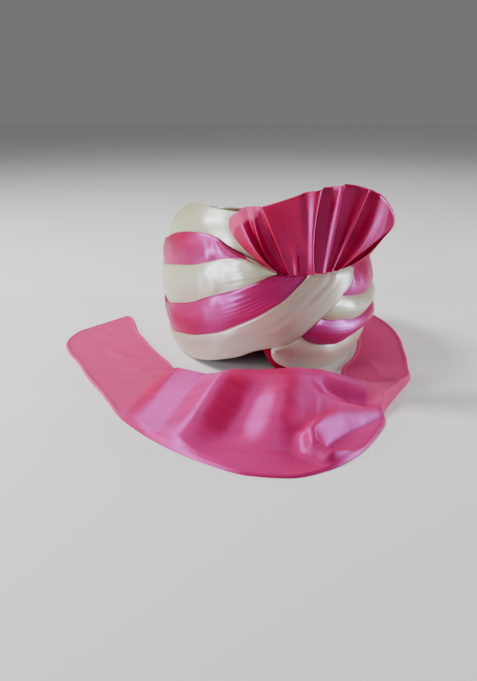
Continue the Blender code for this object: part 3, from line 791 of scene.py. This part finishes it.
# foot across and up, middle across and up, tip across and up, as shares of the width and height,
# then the depth at the foot, the middle and the tip, as shares of a pleat
FAN_PLEATS = (
    (0.315, 0.012, 0.140, 0.190, 0.000, 0.450, -0.2, -1.0, -2.2),
    (0.320, 0.010, 0.155, 0.230, 0.000, 0.560, 0.3, 0.1, -1.6),
    (0.328, 0.008, 0.175, 0.240, 0.056, 0.670, 0.8, 1.0, -0.3),
    (0.335, 0.007, 0.197, 0.262, 0.100, 0.725, -0.4, -0.6, -0.6),
    (0.342, 0.006, 0.210, 0.255, 0.135, 0.740, 0.7, 0.9, 0.1),
    (0.348, 0.005, 0.230, 0.310, 0.155, 0.745, -0.3, -0.8, -0.1),
    (0.354, 0.004, 0.258, 0.370, 0.172, 0.748, -0.6, -1.3, -0.1),
    (0.360, 0.003, 0.272, 0.395, 0.192, 0.752, 0.9, 1.1, 0.3),
    (0.372, 0.002, 0.300, 0.408, 0.225, 0.768, 0.6, 0.8, 0.3),
    (0.385, 0.001, 0.345, 0.430, 0.300, 0.812, 0.3, 0.5, 0.3),
    (0.400, 0.000, 0.385, 0.445, 0.360, 0.850, 0.9, 0.45, 0.3),
    (0.425, 0.000, 0.420, 0.455, 0.410, 0.885, -0.7, 0.5, 0.4),
    (0.460, 0.002, 0.456, 0.462, 0.440, 0.905, -0.3, 0.3, 0.2),
    (0.500, 0.005, 0.486, 0.470, 0.505, 0.927, 0.9, 1.2, 1.3),
    (0.508, 0.005, 0.499, 0.472, 0.535, 0.938, 0.7, 0.9, 0.9),
    (0.518, 0.006, 0.514, 0.475, 0.552, 0.945, -0.8, -1.2, -1.1),
    (0.545, 0.008, 0.562, 0.482, 0.600, 0.955, -0.5, -0.6, -0.7),
    (0.572, 0.010, 0.617, 0.490, 0.652, 0.970, 0.9, 1.1, 1.0),
    (0.580, 0.013, 0.633, 0.492, 0.675, 0.978, -0.8, -1.1, -0.5),
    (0.594, 0.018, 0.672, 0.490, 0.735, 0.965, -0.5, -0.5, -0.3),
    (0.614, 0.024, 0.715, 0.475, 0.812, 0.925, 0.9, 1.1, 1.0),
    (0.620, 0.027, 0.732, 0.465, 0.838, 0.905, -0.8, -1.1, -0.6),
    (0.630, 0.031, 0.760, 0.430, 0.862, 0.885, -0.4, -0.5, -0.1),
    (0.645, 0.036, 0.795, 0.360, 0.888, 0.860, 0.8, 1.0, 0.6),
    (0.655, 0.042, 0.830, 0.330, 0.945, 0.760, 0.1, 0.3, 0.2),
    (0.663, 0.047, 0.848, 0.290, 0.995, 0.600, -0.2, 0.0, -0.1),
    (0.668, 0.052, 0.842, 0.245, 0.998, 0.510, -0.3, -0.3, -0.2),
    (0.673, 0.056, 0.812, 0.180, 0.938, 0.390, 0.5, 0.8, 0.2),
    (0.680, 0.064, 0.770, 0.110, 0.840, 0.155, -0.2, -0.2, -0.4),
)
print("pleat lines", len(FAN_PLEATS))

# %% [markdown]
# The cloth runs smoothly from line to line, and each line is a curve through its three places.
# At the left end the tips curl back and are painted paler, partly as the dull reverse and partly as painted
# light where the curl catches the light from above.

# %% Fan
FAN_BETWEEN = 12
FAN_ROWS = 64
FAN_FLAP_FROM = 0.87
FAN_FLAP_DEPTH = 0.006
FAN_FLAP_LINES = (3.0, 7.0)
FAN_FLAP_POWER = 0.8
FAN_REVERSE_AND_LIGHT_LINES = (4.5, 6.0)
FAN_REVERSE_AND_LIGHT_EDGE = 0.03
FAN_FOOT_DEPTH = 0.45
FAN_TIP_ROUND = 0.03
FAN_WAVE = 0.0003
FAN_CLOTH_SIZE = (0.4, 0.09)


def fan_grid(side):
    """Points of one face of the fan, a row for each line from foot to tip."""
    count = len(FAN_PLEATS)
    steps = np.linspace(0.0, count - 1.0, (count - 1) * FAN_BETWEEN + 1)
    rows = [(i, *row) for i, row in enumerate(FAN_PLEATS)]
    columns = [smooth(steps, rows, k)[:, None] for k in range(1, 10)]
    foot_x, foot_z, middle_x, middle_z, tip_x, tip_z, foot_d, middle_d, tip_d = columns
    t = np.linspace(0.0, 1.0, FAN_ROWS)[None, :]
    at_foot = (1.0 - t) * (1.0 - 2.0 * t)
    at_middle = 4.0 * t * (1.0 - t)
    at_tip = t * (2.0 * t - 1.0)
    across = foot_x * at_foot + middle_x * at_middle + tip_x * at_tip
    up = foot_z * at_foot + middle_z * at_middle + tip_z * at_tip
    depth = foot_d + (middle_d - foot_d) * fade(0.0, 0.5, t) + (tip_d - middle_d) * fade(0.5, 1.0, t)
    depth = FAN_PLEAT * depth * (FAN_FOOT_DEPTH + (1.0 - FAN_FOOT_DEPTH) * np.sqrt(t))
    depth = depth + FAN_WAVE * np.sin(steps[:, None] * 2.1 + 5.0 * t) * t
    flap = 1.0 - fade(*FAN_FLAP_LINES, steps)[:, None]
    depth = depth - FAN_FLAP_DEPTH * flap * fade(FAN_FLAP_FROM, 1.0, t) ** FAN_FLAP_POWER
    edge = np.minimum(1.0, np.sqrt(np.maximum(0.0, (1.0 - t) / FAN_TIP_ROUND)))
    offset = 0.5 * (1.0 + side * edge) * FAN_CLOTH
    front = 0.5 * CROWN_LENGTH * smooth(across, FAN_PLAN) + depth + FAN_STANDOFF - WRAP_DEPTH + offset
    foot = CROWN_HEIGHT * KNOT_LINE + FAN_FOOT_GAP
    return np.stack((AXIS_X + FAN_LEFT + FAN_WIDTH * across, AXIS_Y - front, foot + FAN_HEIGHT * up), axis=-1)


front_face = fan_grid(1.0)
back_face = fan_grid(-1.0)
fan_points = np.concatenate((front_face, back_face[:, ::-1]), axis=1)
t = np.linspace(0.0, 1.0, FAN_ROWS)
there_and_back = np.concatenate((t, t[::-1]))
across = there_and_back[None, :] * FAN_CLOTH_SIZE[1]
along = np.linspace(0.0, FAN_CLOTH_SIZE[0], fan_points.shape[0])[:, None]
lines = np.linspace(0.0, len(FAN_PLEATS) - 1.0, fan_points.shape[0])
# Painted light: the curled tips at the left are painted paler, partly as the dull reverse, partly for the
# light they catch from above.
left_lines = 1.0 - fade(*FAN_REVERSE_AND_LIGHT_LINES, lines)
near_tips = fade(FAN_FLAP_FROM, FAN_FLAP_FROM + FAN_REVERSE_AND_LIGHT_EDGE, there_and_back)
fan = grid_object("pleated_fan", fan_points, along, across, reverse_and_painted_light=left_lines[:, None] * near_tips[None, :])
dress(fan, "fan", pink_fan)

# %% [markdown]
# The tail is one long cloth that lies on the floor, from under the back rim, past the right side,
# to its hemmed end at the left. Its rows say where its two edges lie, and the cloth runs smoothly
# from row to row.

# %% Tail outline
TAIL_WIDTH = 0.155
TAIL_BETWEEN = 10
TAIL_ACROSS_POINTS = 90
EDGE_CROWDING = 0.55

# inner edge's azimuth and distance, outer edge's azimuth and distance, in degrees and as shares
# of the tail's width, measured out from the crown's oval
TAIL_ROWS = (
    (149, -0.20, 186, -0.20), (148, -0.07, 184, 0.02), (146, -0.06, 175, 0.19), (143, -0.06, 163, 0.30),
    (135, -0.06, 149, 0.33), (122, -0.07, 129, 0.29), (105, -0.07, 101, 0.24), (87, -0.09, 88, 0.225),
    (69, -0.10, 77, 0.224), (38, -0.044, 57.4, 0.294), (25.2, 0.125, 48.1, 0.377), (20.1, 0.13, 36.2, 0.455),
    (15.5, 0.115, 25.5, 0.597), (11.7, 0.104, 22.2, 0.724), (7.9, 0.093, 18.1, 0.836),
    (3.9, 0.087, 12.1, 1.003), (-1.2, 0.087, 6.4, 1.128), (-7.9, 0.102, 0.9, 1.189),
    (-15.5, 0.133, -4.6, 1.174), (-23.5, 0.153, -10.7, 1.099), (-31.1, 0.145, -18.1, 0.999),
    (-36.9, 0.151, -26.3, 0.892), (-44.7, 0.110, -32.2, 0.821),
    (-54.4, 0.077, -39.8, 0.724), (-64.8, 0.081, -47.7, 0.664), (-83.2, 0.125, -64.8, 0.624),
    (-98.4, 0.219, -76.8, 0.672), (-108.4, 0.298, -84.4, 0.700), (-114.6, 0.39, -91.0, 0.679),
    (-115.5, 0.44, -96.4, 0.639),
)


def tail_place(azimuth, distance):
    """Point of the floor at this azimuth and distance from the crown's oval."""
    return place(azimuth, oval(azimuth) + TAIL_WIDTH * distance, 0.0)


rows = [(i, *row) for i, row in enumerate(TAIL_ROWS)]
steps = np.linspace(0.0, len(TAIL_ROWS) - 1.0, (len(TAIL_ROWS) - 1) * TAIL_BETWEEN + 1)
in_azimuth, in_distance, out_azimuth, out_distance = [smooth(steps, rows, k) for k in range(1, 5)]
inner_line = tail_place(in_azimuth, in_distance)
outer_line = tail_place(out_azimuth, out_distance)
even = np.linspace(0.0, 1.0, TAIL_ACROSS_POINTS)
crowded = 0.5 - 0.5 * np.cos(np.linspace(0.0, math.pi, TAIL_ACROSS_POINTS)) * EDGE_CROWDING
share = crowded - (1.0 - EDGE_CROWDING) * (0.5 - even)
share = (share - share[0]) / (share[-1] - share[0])
ground = inner_line[:, None, :] + (outer_line - inner_line)[:, None, :] * share[None, :, None]
widths = np.linalg.norm(outer_line - inner_line, axis=1)[:, None]
print("tail", ground.shape[0], "rows, widest", round(float(widths.max()), 3), "m")

# %% [markdown]
# The satin of the tail falls in broad soft folds, with a pocket at its right end. A simulation
# could make folds, but not the ones that were seen, so each fold here is a line with a height,
# and it dies away to both sides. The heights of all the folds are added up.

# %% Tail folds
TAIL_FOLD_HEIGHT = 0.025
FAR_AWAY = 9.0
LEAST_DISTANCE = 1e-5

# reach towards the crown and away from it as shares of the tail's width, then the line's azimuth
# and distance, as for the edges, and its height as a share of TAIL_FOLD_HEIGHT: the far crest,
# the left ridge, the valley beside it, the middle swell, the dark valley at the right, and the
# rim and the hollow of the pocket
TAIL_FOLDS = (
    (0.09, 0.50, ((-38, 0.16, 0.42), (-34, 0.19, 0.58), (-28, 0.23, 0.64), (-21, 0.27, 0.70),
                  (-17, 0.27, 0.82), (-13, 0.27, 0.98), (-4, 0.21, 1.0), (8, 0.21, 1.0),
                  (15, 0.25, 0.95), (20, 0.31, 0.8), (26, 0.40, 0.6), (36, 0.42, 0.3))),
    (0.12, 0.12, ((-12, 0.28, 0.05), (-13.0, 0.42, 0.32), (-14, 0.60, 0.46), (-15, 0.80, 0.44),
                  (-16.5, 1.0, 0.22))),
    (0.10, 0.10, ((-3, 0.35, 0.0), (-5, 0.58, -0.08), (-8, 0.85, -0.06))),
    (0.14, 0.14, ((11.5, 0.26, 0.0), (5.0, 0.41, 0.32), (1.5, 0.60, 0.56), (-0.5, 0.80, 0.48),
                  (-2.0, 0.97, 0.1))),
    (0.07, 0.08, ((11, 0.34, -0.06), (13.5, 0.42, -0.34), (18, 0.48, -0.48), (22, 0.54, -0.40))),
    (0.045, 0.055, ((15.5, 0.67, 0.08), (12.0, 0.70, 0.28), (7.6, 0.81, 0.50), (5.5, 0.90, 0.54),
                    (5.4, 0.97, 0.50), (7.4, 1.04, 0.34), (12.0, 1.0, 0.20), (19.5, 0.80, 0.04))),
    (0.055, 0.10, ((23.5, 0.68, -0.40), (18.2, 0.765, -0.62), (12.0, 0.865, -0.56), (9.0, 0.91, -0.30))),
)

# the same columns, for the faint creases of the left and right runs
TAIL_CREASES = (
    (0.030, 0.030, ((-40, 0.20, 0.0), (-43, 0.32, 0.10), (-50, 0.48, 0.0))),
    (0.025, 0.040, ((-47, 0.16, 0.0), (-52, 0.30, 0.08), (-60, 0.45, 0.0))),
    (0.040, 0.025, ((-58, 0.20, 0.0), (-66, 0.33, 0.06), (-78, 0.42, 0.0))),
    (0.030, 0.030, ((-84, 0.30, 0.0), (-92, 0.45, 0.05), (-97, 0.60, 0.0))),
    (0.030, 0.040, ((52, 0.02, 0.0), (47, 0.12, 0.07), (40, 0.30, 0.0))),
)


def fold_height(points, folds):
    """Height of all these folds over these points of the floor."""
    axis = np.array((AXIS_X, AXIS_Y, 0.0))
    total = np.zeros(points.shape[:2])
    for reach_in, reach_out, crest in folds:
        line = [(tail_place(azimuth, distance), height) for azimuth, distance, height in crest]
        nearest = np.full(points.shape[:2], FAR_AWAY)
        added = np.zeros(points.shape[:2])
        for (start, low), (end, high) in zip(line, line[1:]):
            step = end - start
            t = np.clip(((points - start) @ step) / (step @ step), 0.0, 1.0)
            spot = start + t[..., None] * step
            away = points - spot
            distance = np.maximum(np.linalg.norm(away, axis=-1), LEAST_DISTANCE)
            radial = (spot - axis) / np.linalg.norm(spot - axis, axis=-1)[..., None]
            lean = 0.5 + 0.5 * np.sum(away * radial, axis=-1) / distance
            reach = TAIL_WIDTH * (reach_in + (reach_out - reach_in) * lean)
            value = (low + t * (high - low)) * np.exp(-(distance / reach) ** 2)
            added = np.where(distance < nearest, value, added)
            nearest = np.minimum(nearest, distance)
        total += added
    return TAIL_FOLD_HEIGHT * np.maximum(0.0, total)


FOLD_EDGE_IN = 0.14
FOLD_EDGE_OUT = 0.05
CREASE_EDGE = 0.1
FOLDS_BEGIN = (7.0, 10.0)
FOLDS_END = (20.8, 22.4)

lift = fold_height(ground, TAIL_FOLDS) * fade(0.0, FOLD_EDGE_IN, share)[None, :]
lift = lift * fade(0.0, FOLD_EDGE_OUT, 1.0 - share)[None, :]
lift = lift * (fade(*FOLDS_BEGIN, steps) * (1.0 - fade(*FOLDS_END, steps)))[:, None]
creases = fold_height(ground, TAIL_CREASES)
lift = lift + creases * fade(0.0, CREASE_EDGE, share) * fade(0.0, CREASE_EDGE, 1.0 - share)
print("folds rise to", round(float(lift.max()), 4), "m")

# %% [markdown]
# A narrow hem, a little thicker than the cloth, runs along both edges and the end. The dull
# reverse shows on the right run as far as a turned edge, and those stretches are marked paler. The
# left run is marked paler too, partly as the reverse and partly as painted sheen where it lies flat.

# %% Tail cloth
HEM_WIDTH = 0.0045
HEM_RISE = 0.0007
HEM_INSIDE = 0.6
HEM_BEFORE_END = (1.35, 1.25)
THIN_SHARE = 0.25
FULL_SHARE = 0.45
SIDE_ROUND = 0.012
END_ROUND = 0.12
TAIL_LENGTH = 0.9
TURNED_EDGE = ((24.0, 0.42), (21.8, 0.66))
TURNED_BLUR = (-0.0005, 0.0015)
TURNED_UP_TO = (12.0, 12.5)
RIGHT_RUN_ENDS = (7.6, 8.4)
LEFT_RUN_BEGINS = (21.6, 22.6)

from_edge = np.minimum(share, 1.0 - share)
hem = 1.0 - fade(HEM_INSIDE * HEM_WIDTH, HEM_WIDTH, widths * from_edge[None, :])
end_hem = [len(TAIL_ROWS) - before for before in HEM_BEFORE_END]
hem = np.maximum(hem, fade(*end_hem, steps)[:, None])
edge = np.sqrt(np.clip(from_edge / SIDE_ROUND, 0.0, 1.0))[None, :]
ends = np.sqrt(np.clip(np.minimum(steps, steps[-1] - steps) / END_ROUND, 0.0, 1.0))[:, None]
thick = TAIL_CLOTH * (THIN_SHARE + FULL_SHARE * edge * ends) + HEM_RISE * hem * edge * ends
under = ground.copy()
under[..., 2] = lift
upper = ground.copy()
upper[..., 2] = lift + thick
tail_points = np.concatenate((upper, under[:, ::-1]), axis=1)

edge_start, edge_end = (tail_place(*spot) for spot in TURNED_EDGE)
along_edge = (edge_end - edge_start) / np.linalg.norm(edge_end - edge_start)
aside = np.cross(along_edge, ground - edge_start)[..., 2]
turned = fade(*TURNED_BLUR, aside) * (1.0 - fade(*TURNED_UP_TO, steps))[:, None]
turned = np.concatenate((turned, turned[:, ::-1]), axis=1)
# Painted sheen: the left run is painted paler partly for the light it catches lying flat; the right run and
# the turned edge show the dull reverse.
runs = np.maximum(1.0 - fade(*RIGHT_RUN_ENDS, steps), fade(*LEFT_RUN_BEGINS, steps))[:, None]

across = np.concatenate((share, share[::-1]))[None, :] * widths
along = (steps / steps[-1])[:, None] * TAIL_LENGTH
tail = grid_object("loose_tail", tail_points, along, across, reverse_and_painted_light=np.maximum(turned, runs))
dress(tail, "tail", pink_tail_painted_light)

# %% [markdown]
# Every piece is cloth. The bands and the cap are stretched round the head, the fan is gathered and
# the tail is laid. The pieces are listed by name.

print("declared", [piece.name for piece in (wrap_1, wrap_2, wrap_3, wrap_4, wrap_5, cap, fan, tail)])
